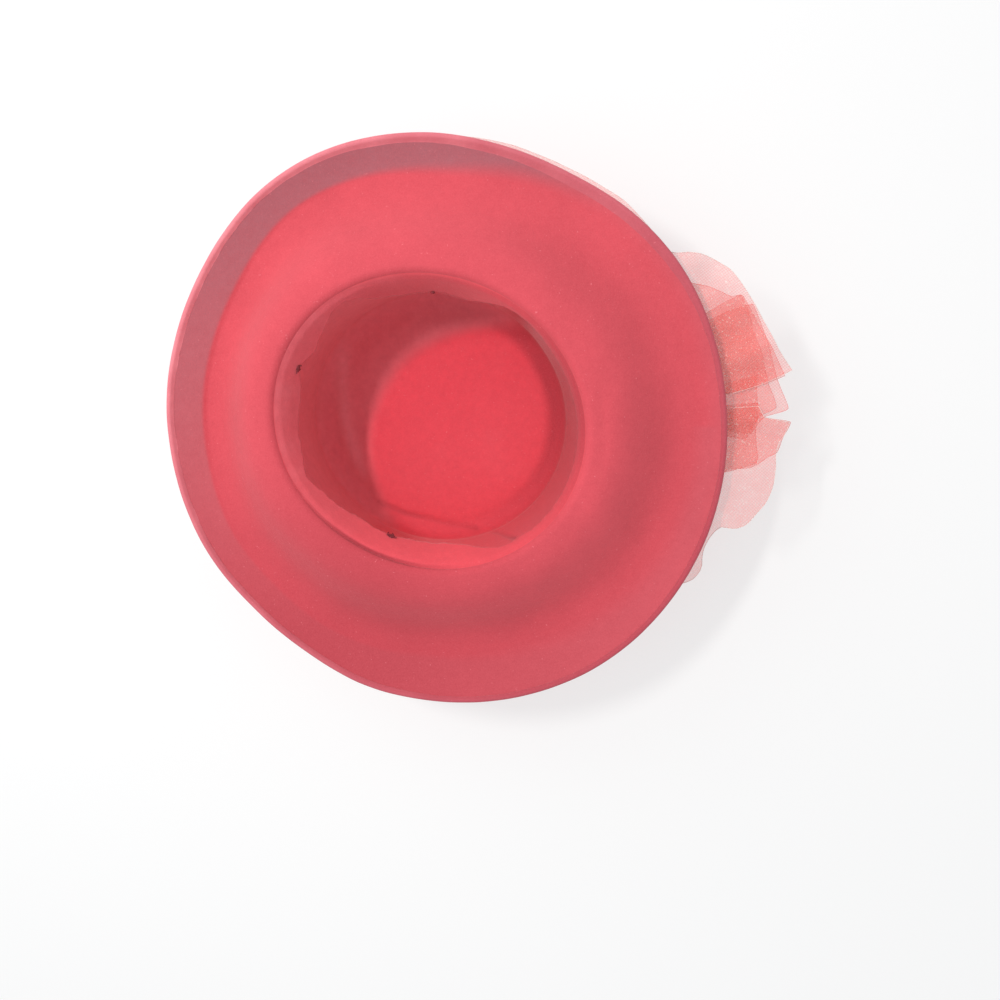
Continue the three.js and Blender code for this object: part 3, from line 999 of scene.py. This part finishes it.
def strip_shell():
    points, tints = [], []
    foot = STRIP_DOWN + 2
    for degrees in directions(STRIP_AROUND):
        width = strip_width(degrees)
        levels = [lerp(-STRIP_LAP, width, i / STRIP_DOWN) for i in range(STRIP_DOWN + 1)]
        section = [strip_place(degrees, -STRIP_LAP, -STRIP_LIFT)]
        section += [strip_place(degrees, max(b, STRIP_EDGE - STRIP_LAP)) for b in levels[:-1]]
        section.append(strip_place(degrees, width - STRIP_ROUND))
        section.append(strip_place(degrees, width, -STRIP_FELT / 2))
        section += [strip_place(degrees, b, -strip_thickness(b)) for b in reversed(levels[::2])]
        points += section
        # Painted highlight on the strip's top edge, and painted shade at its open seam and in patches by
        # direction
        edge_painted_highlight = patches_at(STRIP_PAINTED_HIGHLIGHTS, degrees)
        fray = wave_at(degrees, 0, 0, PALE_FOOT["length"], seed=3.9)
        foot_pale = PALE_FOOT["share"] * clamp(0.5 + PALE_FOOT["wave"] * fray)
        rub = wave_at(degrees, 0, 0, WORN_STRIP["length"], seed=5.5)
        wear_and_highlight = WORN_STRIP["share"] + WORN_STRIP["wave"] * rub
        wear_and_highlight *= bell(turn_between(degrees, WORN_STRIP["middle"]), WORN_STRIP["spread"])
        seam, painted_shade = seam_share(degrees), patches_at(STRIP_PAINTED_SHADE, degrees)
        for i in range(len(section)):
            pale = edge_painted_highlight if i < 2 else foot_pale if i in (foot, foot + 1) else wear_and_highlight
            tints.append((0.0, pale, 0.0, seam if i < 3 else painted_shade))
    return points, band_faces(STRIP_AROUND, len(section), True), tints


def tack_path(entry, loop):
    """One closed loop of a tack's thread, as (side, below, rise) on the strip's face."""
    size = entry["size"]
    lean = TACK_SLANT + math.pi * loop / TACK_LOOPS
    path = []
    for i in range(TACK_STEPS):
        turn = 2 * math.pi * i / TACK_STEPS
        reach = size * (TACK_REACH + TACK_SWELL * math.sin(3 * turn + 2.1 * loop))
        along = reach * math.cos(turn)
        across = TACK_FLATNESS * reach * math.sin(turn)
        drift = TACK_SWELL * size * math.sin(4 * loop)
        side = along * math.cos(lean) - across * math.sin(lean) + drift
        below = along * math.sin(lean) * TACK_SQUASH + across * math.cos(lean)
        rise = TACK_LIFT + 0.5 * loop / TACK_LOOPS + 0.3 * math.sin(turn + loop)
        path.append((side, below, rise))
    return path


def tack_end(entry, index):
    """A loose end of thread that strays from a tack."""
    turn = 0.7 + 2.3 * index
    path = []
    for i in range(TACK_END_STEPS + 1):
        share = i / TACK_END_STEPS
        reach = entry["size"] * (0.3 + 1.1 * share)
        bend = turn + 0.9 * share ** 2 * (-1) ** index
        path.append((reach * math.cos(bend), TACK_SQUASH * reach * math.sin(bend), 0.5 + 0.3 * share))
    return path


def tack(entry):
    """A tangled knot of thread with loose ends that lies on the strip's face."""
    points, faces = [], []
    threads = [(tack_path(entry, loop), True) for loop in range(TACK_LOOPS)]
    threads += [(tack_end(entry, index), False) for index in range(TACK_ENDS)]
    for thread, closed in threads:
        path = []
        for side, below, rise in thread:
            degrees = entry["angle"] + math.degrees(side / (HEAD_WIDTH / 2))
            path.append(strip_place(degrees, entry["below"] + below, rise))
        ring, quads = tube(path, [THREAD_RADIUS] * len(path), closed)
        faces += [tuple(len(points) + i for i in quad) for quad in quads]
        points += ring
    return points, faces


# Organza forms

KNOT_LEVEL = CROWN_DEPTH - KNOT_BELOW_FOLD
KNOT_REACH = wall_reach(KNOT_ANGLE, KNOT_LEVEL) + GAP
KNOT_PLACE = spin(KNOT_REACH, KNOT_LEVEL, KNOT_ANGLE)


def under_brim(x, y):
    degrees = round(math.degrees(math.atan2(y, x)), 1)
    start = fold_top(degrees)
    across = (math.hypot(x, y) - start) / (rim_reach(degrees) - start)
    crease = brim_form(degrees, "crease")
    return brim_height(degrees, clamp(across, 0, crease)) - FELT - dents_at(x, y)


def pleat_at(turn, share, seed):
    """The sheet's folds, from -1 to 1: fine at the knot, few and broad at the hem."""
    angle = math.radians(turn)
    broad = sum(row["size"] * math.sin(row["count"] * angle + row["shift"]) for row in PLEAT_WAVES)
    own = PLEAT_OWN * math.sin(PLEAT_OWN_COUNT * angle + seed)
    fine = PLEAT_FINE * (1 - share) * math.sin(PLEAT_FINE_COUNT * angle + seed)
    return broad + own + fine


def sheet_height(x, y, turn, share, level):
    """Height of a sheet, which leaves the knot and then lies below the brim and the other sheets."""
    pleat = 0.5 * PLEAT_HEIGHT * lerp(PLEAT_AT_KNOT, 1, share)
    spacing = level * SHEET_SPACING * lerp(SPACING_AT_KNOT, 1, share)
    free = under_brim(x, y) - FRILL_CLEARANCE - pleat - spacing
    root = KNOT_LEVEL - level * ROOT_SPACING
    middle = min(lerp(root, free, smooth(share / SHEET_OPENS)), free)
    return middle + pleat * pleat_at(turn, share, PLEAT_SEED * level)


def organza_sheet(entry):
    """Points in a grid of (steps out from the knot) by (turns about it)."""
    hem = HEMS[entry["name"]]
    low, high = entry["low"], entry["high"]
    spaced = [low + (high - low) * i / SHEET_TURNS for i in range(SHEET_TURNS + 1)]
    own = [row["angle"] for row in hem]
    turns = sorted(own + [turn for turn in spaced if min(abs(turn - a) for a in own) > HEM_STEP])
    points = []
    for k in range(SHEET_STEPS + 1):
        share = k / SHEET_STEPS
        for turn in turns:
            u = (turn - low) / (high - low)
            skew = (1 - share) * (entry["high_skew"] * u - entry["low_skew"] * (1 - u))
            end = FRILL_REACH * hem_at(hem, turn)
            reach = lerp(KNOT_RADIUS * SHEET_START, end, share)
            angle = math.radians(turn + skew * share)
            x = KNOT_PLACE.x + reach * math.cos(angle)
            y = KNOT_PLACE.y + reach * math.sin(angle)
            z = sheet_height(x, y, turn + skew * share, share, entry["level"])
            points.append(Vector((x, y, z)))
    width = len(turns)
    faces = band_faces(SHEET_STEPS + 1, width, False, False)
    sides = range(SIDE_HEM_FROM, SHEET_STEPS)
    low_side = [points[k * width] for k in sides]
    high_side = [points[k * width + width - 1] for k in reversed(sides)]
    path = low_side + points[-width:] + high_side
    side_radii = [SIDE_HEM_RADIUS] * len(sides)
    return points, faces, (path, side_radii + [HEM_RADIUS] * width + side_radii)


def rim_band():
    """Organza that lies under the brim along the rim and shows just past its edge."""
    points, outer = [], []
    taper_in, taper_out = BAND_TAPERS
    for step in range(BAND_TURNS + 1):
        degrees = lerp(BAND_FROM, BAND_TO, step / BAND_TURNS)
        end, along, _ = rim_frame(degrees)
        ends = smooth((degrees - BAND_FROM) / taper_in) * smooth((BAND_TO - degrees) / taper_out)
        show = GAP + ROLL_FELT + BAND_SHOW * lerp(BAND_LEAST_SHOW, 1, ends)
        show += BAND_WAVE * wave_at(degrees, 0, 0, BAND_WAVE_LENGTH, seed=2.6)
        for i in range(BAND_ACROSS + 1):
            out = lerp(show - BAND_WIDTH, show, i / BAND_ACROSS)
            under = FELT + BAND_CLEARANCE + BAND_SAG * ramp(out, BAND_SAG_FROM, BAND_SAG_TO)
            points.append(spin(end[0] + along[0] * out, end[1] + along[1] * out - under, degrees))
        outer.append(points[-1])
    faces = band_faces(BAND_TURNS + 1, BAND_ACROSS + 1, False, False)
    return points, faces, (outer, [SIDE_HEM_RADIUS] * len(outer))


def sheet_cut(entry):
    """Flat size of the sheet's cut: its fullness along the hem, its length, its area."""
    hem = HEMS[entry["name"]]
    low, high = entry["low"], entry["high"]
    turns = [lerp(low, high, (i + 0.5) / CUT_STEPS) for i in range(CUT_STEPS)]
    reaches = [hem_at(hem, turn) * FRILL_REACH * MM for turn in turns]
    step = math.radians((high - low) / CUT_STEPS)
    length = max(reaches)
    width = FULLNESS * sum(reach * step for reach in reaches)
    area = FULLNESS * sum(0.5 * reach * reach * step for reach in reaches)
    return (width, length), clamp(area, LEAST_CUT * width * length, width * length)


def knot_root():
    """The gathered root: a small rosette of puckers on the crown's wall."""
    points = []
    around = KNOT_AROUND
    for k in range(KNOT_RINGS + 1):
        share = k / KNOT_RINGS
        for i in range(around):
            turn = 2 * math.pi * i / around
            fold = math.sin(PUCKERS * turn)
            pucker = 1 + PUCKER_OUT * share * fold + PUCKER_WANDER * math.sin(7 * turn + 1)
            reach = KNOT_SPREAD * KNOT_RADIUS * share * pucker
            rise = KNOT_HEIGHT * (KNOT_FOOT + KNOT_DOME * math.sqrt(max(1 - share * share, 0)))
            rise *= 1 + PUCKER_UP * fold * share
            points.append(knot_point(reach * math.cos(turn), reach * math.sin(turn), rise))
    base = len(points)
    for k in range(2):
        for i in range(around):
            turn = 2 * math.pi * i / around
            reach = KNOT_RADIUS * KNOT_BASE[k]
            points.append(knot_point(reach * math.cos(turn), reach * math.sin(turn), KNOT_BASE_LIFT))
    faces = band_faces(KNOT_RINGS + 3, around, False)
    faces.append(tuple(reversed(range(around))))
    faces.append(tuple(range(base + around, base + 2 * around)))
    return points, faces


def knot_point(side, rise, out):
    height = KNOT_LEVEL + rise
    degrees = KNOT_ANGLE + math.degrees(math.atan2(side, KNOT_REACH))
    seat = spin(wall_reach(degrees, height) + GAP, height, degrees)
    return seat + spin(out, 0, KNOT_ANGLE)


# Materials

# Fine detail: size in millimetres, the noise's own settings, where it starts and ends,
# and how much of it shows
GRAINS = {row["name"]: row for row in rows(
    "name size detail roughness low high share",
    ("broad", 55, 2.0, 0.55, 0.32, 0.68, 1.0),
    ("mottle", 5, 4.0, 0.65, 0.3, 0.7, 0.16),
    ("fibre", 0.9, 4.0, 0.7, 0.32, 0.68, 0.14),
    ("speck", 1.6, 2.0, 0.5, 0.70, 0.78, 0.35),
    ("cloud", 9, 3.0, 0.55, 0.3, 0.7, 0.3),
    ("glint", 1.1, 2.0, 0.6, 0.61, 0.68, 0.8),
    ("twist", 0.6, 2.0, 0.55, 0.35, 0.65, 1.0),
)}
FELT_RELIEF = 0.26
FIBRE_RELIEF = 0.15
FELT_SHEEN = 0.27
SHEEN_PINK = (1.0, 0.78, 0.80)
WEAVE_PITCH = 1.25
WEAVE_SLANT = 0.45
WEAVE_DEPTH = 0.34
WEAVE_RELIEF = 0.08
GLINT_CREAM = (1.0, 0.85, 0.75)
ORGANZA_COVER = 0.385
ROOT_COVER = 0.9
THREAD_RELIEF = 0.08


class Nodes:
    """Short names for building a node material."""

    def __init__(self, name):
        self.material = bpy.data.materials.new(name)
        self.material.use_nodes = True
        self.tree = self.material.node_tree
        self.shader = self.tree.nodes["Principled BSDF"]
        self.place = self.add("ShaderNodeTexCoord").outputs["Object"]

    def add(self, kind, **settings):
        node = self.tree.nodes.new(kind)
        for key, value in settings.items():
            setattr(node, key, value)
        return node

    def link(self, source, target):
        self.tree.links.new(source, target)

    def noise(self, size, detail=3.0, roughness=0.55):
        """Noise whose bumps are about `size` millimetres apart."""
        node = self.add("ShaderNodeTexNoise")
        node.inputs["Scale"].default_value = 1 / (size * MM)
        node.inputs["Detail"].default_value = detail
        node.inputs["Roughness"].default_value = roughness
        self.link(self.place, node.inputs["Vector"])
        return node.outputs["Fac"]

    def spread(self, value, low, high, to_low=0.0, to_high=1.0):
        node = self.add("ShaderNodeMapRange")
        for key, number in zip(("From Min", "From Max", "To Min", "To Max"), (low, high, to_low, to_high)):
            node.inputs[key].default_value = number
        self.link(value, node.inputs["Value"])
        return node.outputs["Result"]

    def grain(self, name):
        """One of the named fine details, from 0 to 1."""
        row = GRAINS[name]
        cloud = self.noise(row["size"], row["detail"], row["roughness"])
        return self.spread(cloud, row["low"], row["high"])

    def blend(self, name, base, colour):
        """The base colour with a named fine detail laid over it in another colour."""
        return self.mix(self.math("MULTIPLY", self.grain(name), GRAINS[name]["share"]), base, colour)

    def math(self, operation, a, b=0.0):
        node = self.add("ShaderNodeMath", operation=operation)
        for slot, value in zip(node.inputs, (a, b)):
            if isinstance(value, (int, float)):
                slot.default_value = value
            else:
                self.link(value, slot)
        return node.outputs["Value"]

    def mix(self, share, a, b):
        node = self.add("ShaderNodeMix", data_type="RGBA")
        for slot, value in zip((node.inputs[0], node.inputs[6], node.inputs[7]), (share, a, b)):
            if isinstance(value, tuple):
                slot.default_value = (*value, 1.0)
            elif isinstance(value, (int, float)):
                slot.default_value = value
            else:
                self.link(value, slot)
        return node.outputs[2]

    def bump(self, height, distance, under=None):
        node = self.add("ShaderNodeBump")
        node.inputs["Strength"].default_value = 1.0
        node.inputs["Distance"].default_value = distance * MM
        self.link(height, node.inputs["Height"])
        if under is not None:
            self.link(under, node.inputs["Normal"])
        return node.outputs["Normal"]

    def set(self, **values):
        for key, value in values.items():
            slot = self.shader.inputs[key.replace("_", " ")]
            if isinstance(value, (int, float)):
                slot.default_value = value
            elif isinstance(value, tuple):
                slot.default_value = (*value, 1.0)
            else:
                self.link(value, slot)


def shade(colour, factor):
    return tuple(min(c * factor, 1.0) for c in colour)


def felt_material(name, colour):
    n = Nodes(name)
    tint = n.add("ShaderNodeVertexColor", layer_name="tint")
    parts = n.add("ShaderNodeSeparateColor")
    n.link(tint.outputs["Color"], parts.inputs["Color"])
    painted_shade = n.add("ShaderNodeAttribute", attribute_name="painted_shade")
    base = n.mix(n.grain("broad"), shade(colour, 0.95), shade(colour, 1.05))
    base = n.mix(parts.outputs["Blue"], base, FELT_BRIGHT)
    # Painted shade: grey-mauve where the felt lies in shade
    base = n.mix(parts.outputs["Red"], base, FELT_PAINTED_MAUVE)
    # Paler felt for scuffs and wear, also painted grey shade, sheen and highlights
    base = n.mix(parts.outputs["Green"], base, FELT_PALE)
    # Painted shade: darker felt in the crease, on the crown's right wall, low on the brim, on the strip
    # and on the roll's far side
    base = n.mix(painted_shade.outputs["Fac"], base, FELT_DEEP)
    base = n.blend("mottle", base, FELT_DEEP)
    base = n.blend("fibre", base, FELT_NAP)
    base = n.blend("speck", base, FELT_PALE)
    relief = n.bump(n.noise(4, 4.0, 0.6), FELT_RELIEF)
    relief = n.bump(n.noise(0.8, 4.0, 0.7), FIBRE_RELIEF, relief)
    n.set(Base_Color=base, Roughness=0.95, Normal=relief)
    n.set(Specular_IOR_Level=0.15, Sheen_Weight=FELT_SHEEN, Sheen_Roughness=0.45, Sheen_Tint=SHEEN_PINK)
    return n.material


def organza_material(name, cover):
    """Sheer plain weave: `cover` is how much of the ground the threads hide."""
    n = Nodes(name)
    split = n.add("ShaderNodeSeparateXYZ")
    n.link(n.place, split.inputs["Vector"])
    x, y = split.outputs["X"], split.outputs["Y"]
    across = n.math("ADD", x, n.math("MULTIPLY", y, WEAVE_SLANT))
    along = n.math("SUBTRACT", y, n.math("MULTIPLY", x, WEAVE_SLANT))
    turns = 2 * math.pi / (WEAVE_PITCH * MM)
    across, along = (n.math("SINE", n.math("MULTIPLY", way, turns)) for way in (across, along))
    weave = n.spread(n.math("MULTIPLY", across, along), -1, 1)
    colour = n.blend("cloud", ORGANZA_PINK, shade(ORGANZA_PINK, 0.88))
    colour = n.blend("glint", colour, GLINT_CREAM)
    cover_here = n.math("ADD", cover - 0.20, n.math("MULTIPLY", weave, WEAVE_DEPTH))
    cover_here = n.math("ADD", cover_here, n.math("MULTIPLY", n.grain("cloud"), 0.06))
    n.set(Base_Color=colour, Roughness=0.5, Alpha=cover_here, Normal=n.bump(weave, WEAVE_RELIEF))
    n.set(Specular_IOR_Level=0.35, Sheen_Weight=0.2)
    return n.material


def thread_material(name, colour):
    n = Nodes(name)
    n.set(
        Base_Color=n.mix(n.grain("twist"), shade(colour, 0.75), shade(colour, 1.3)),
        Roughness=0.8,
        Normal=n.bump(n.noise(0.35, 2.0), THREAD_RELIEF),
    )
    return n.material


# The hat

felt = felt_material("felt", FELT_RED)
roll_felt = felt_material("roll_felt", ROLL_RED)
strip_felt = felt_material("strip_felt", STRIP_RED)
thread = thread_material("thread", THREAD_RED)
hem_pale = thread_material("hem_pale", HEM_PALE)
organza = organza_material("organza", ORGANZA_COVER)
organza_root = organza_material("organza_root", ROOT_COVER)

for piece_name, node, shell, cloth, slot in (
    ("crown_felt", "crown", crown_shell, felt, "felt"),
    ("brim_felt", "brim", brim_shell, felt, "felt"),
    ("rolled_edge", "edge_roll", roll_shell, roll_felt, "felt_edge"),
    ("inner_strip", "head_strip", strip_shell, strip_felt, "felt_strip"),
):
    points, faces, tints = shell()
    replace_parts(make_piece(piece_name, points, faces, cloth, slot, tints), node)

for entry in TACKS:
    make_piece(entry["name"], *tack(entry), thread, "felt_strip")

root = make_piece("frill_root", *knot_root(), organza_root, "organza")
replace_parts(root, "frill_knot")

for entry in SHEETS:
    sheet_points, sheet_faces, hem_line = organza_sheet(entry)
    sheet = make_piece(entry["name"], sheet_points, sheet_faces, organza, "organza")
    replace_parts(sheet, entry["stands_for"])
    hem_cloth = hem_pale if entry["level"] == 1 else organza
    hem = make_piece(entry["name"] + "_hem", *tube(*hem_line), hem_cloth, "organza")
    cut, cut_area = sheet_cut(entry)

band_points, band_quads, band_hem = rim_band()
band = make_piece("frill_rim_band", band_points, band_quads, organza, "organza")
band_hem = make_piece("frill_rim_band_hem", *tube(*band_hem), hem_pale, "organza")


# Floor, light and camera

def pointed(direction):
    """Turn of a lamp or camera that looks back along a direction, with +Y up in its view."""
    back = Vector(direction).normalized()
    right = Vector((0, 1, 0)).cross(back).normalized()
    return Matrix((right, back.cross(right), back)).transposed().to_euler()


def add_light(name, direction, distance, size, power, colour):
    light = bpy.data.lights.new(name, "AREA")
    light.shape = "ELLIPSE"
    light.size, light.size_y = size
    light.energy = power
    light.color = colour
    lamp = bpy.data.objects.new(name, light)
    lamp.location = Vector(direction).normalized() * distance
    lamp.rotation_euler = pointed(direction)
    bpy.context.scene.collection.objects.link(lamp)


bpy.ops.mesh.primitive_plane_add(size=FLOOR_SIZE, location=(0, 0, 0))
floor = bpy.context.object
floor.name = "floor"
floor_nodes = Nodes("floor")
floor_nodes.set(Base_Color=FLOOR_WHITE, Roughness=0.9)
floor_nodes.set(Emission_Color=FLOOR_LIGHT, Emission_Strength=FLOOR_GLOW)
floor.data.materials.append(floor_nodes.material)

add_light("key", KEY_DIRECTION, KEY_DISTANCE, KEY_SIZE, KEY_POWER, KEY_COLOUR)
add_light("fill", FILL_DIRECTION, FILL_DISTANCE, FILL_SIZE, FILL_POWER, FILL_COLOUR)

world = bpy.data.worlds.new("studio")
bpy.context.scene.world = world
world.use_nodes = True
sky = world.node_tree.nodes["Background"]
sky.inputs["Color"].default_value = (*SKY_COLOUR, 1.0)
sky.inputs["Strength"].default_value = SKY_STRENGTH

camera_data = bpy.data.cameras.new("camera")
camera_data.lens = CAMERA_LENS
camera_data.sensor_width = SENSOR
camera = bpy.data.objects.new("camera", camera_data)
camera.location = Vector(CAMERA_PLACE) * MM
view = (Vector(CAMERA_PLACE) - Vector(CAMERA_AIM)).normalized()
camera.rotation_euler = pointed(view)
bpy.context.scene.collection.objects.link(camera)
bpy.context.scene.camera = camera
bpy.context.scene.view_settings.view_transform = "Standard"
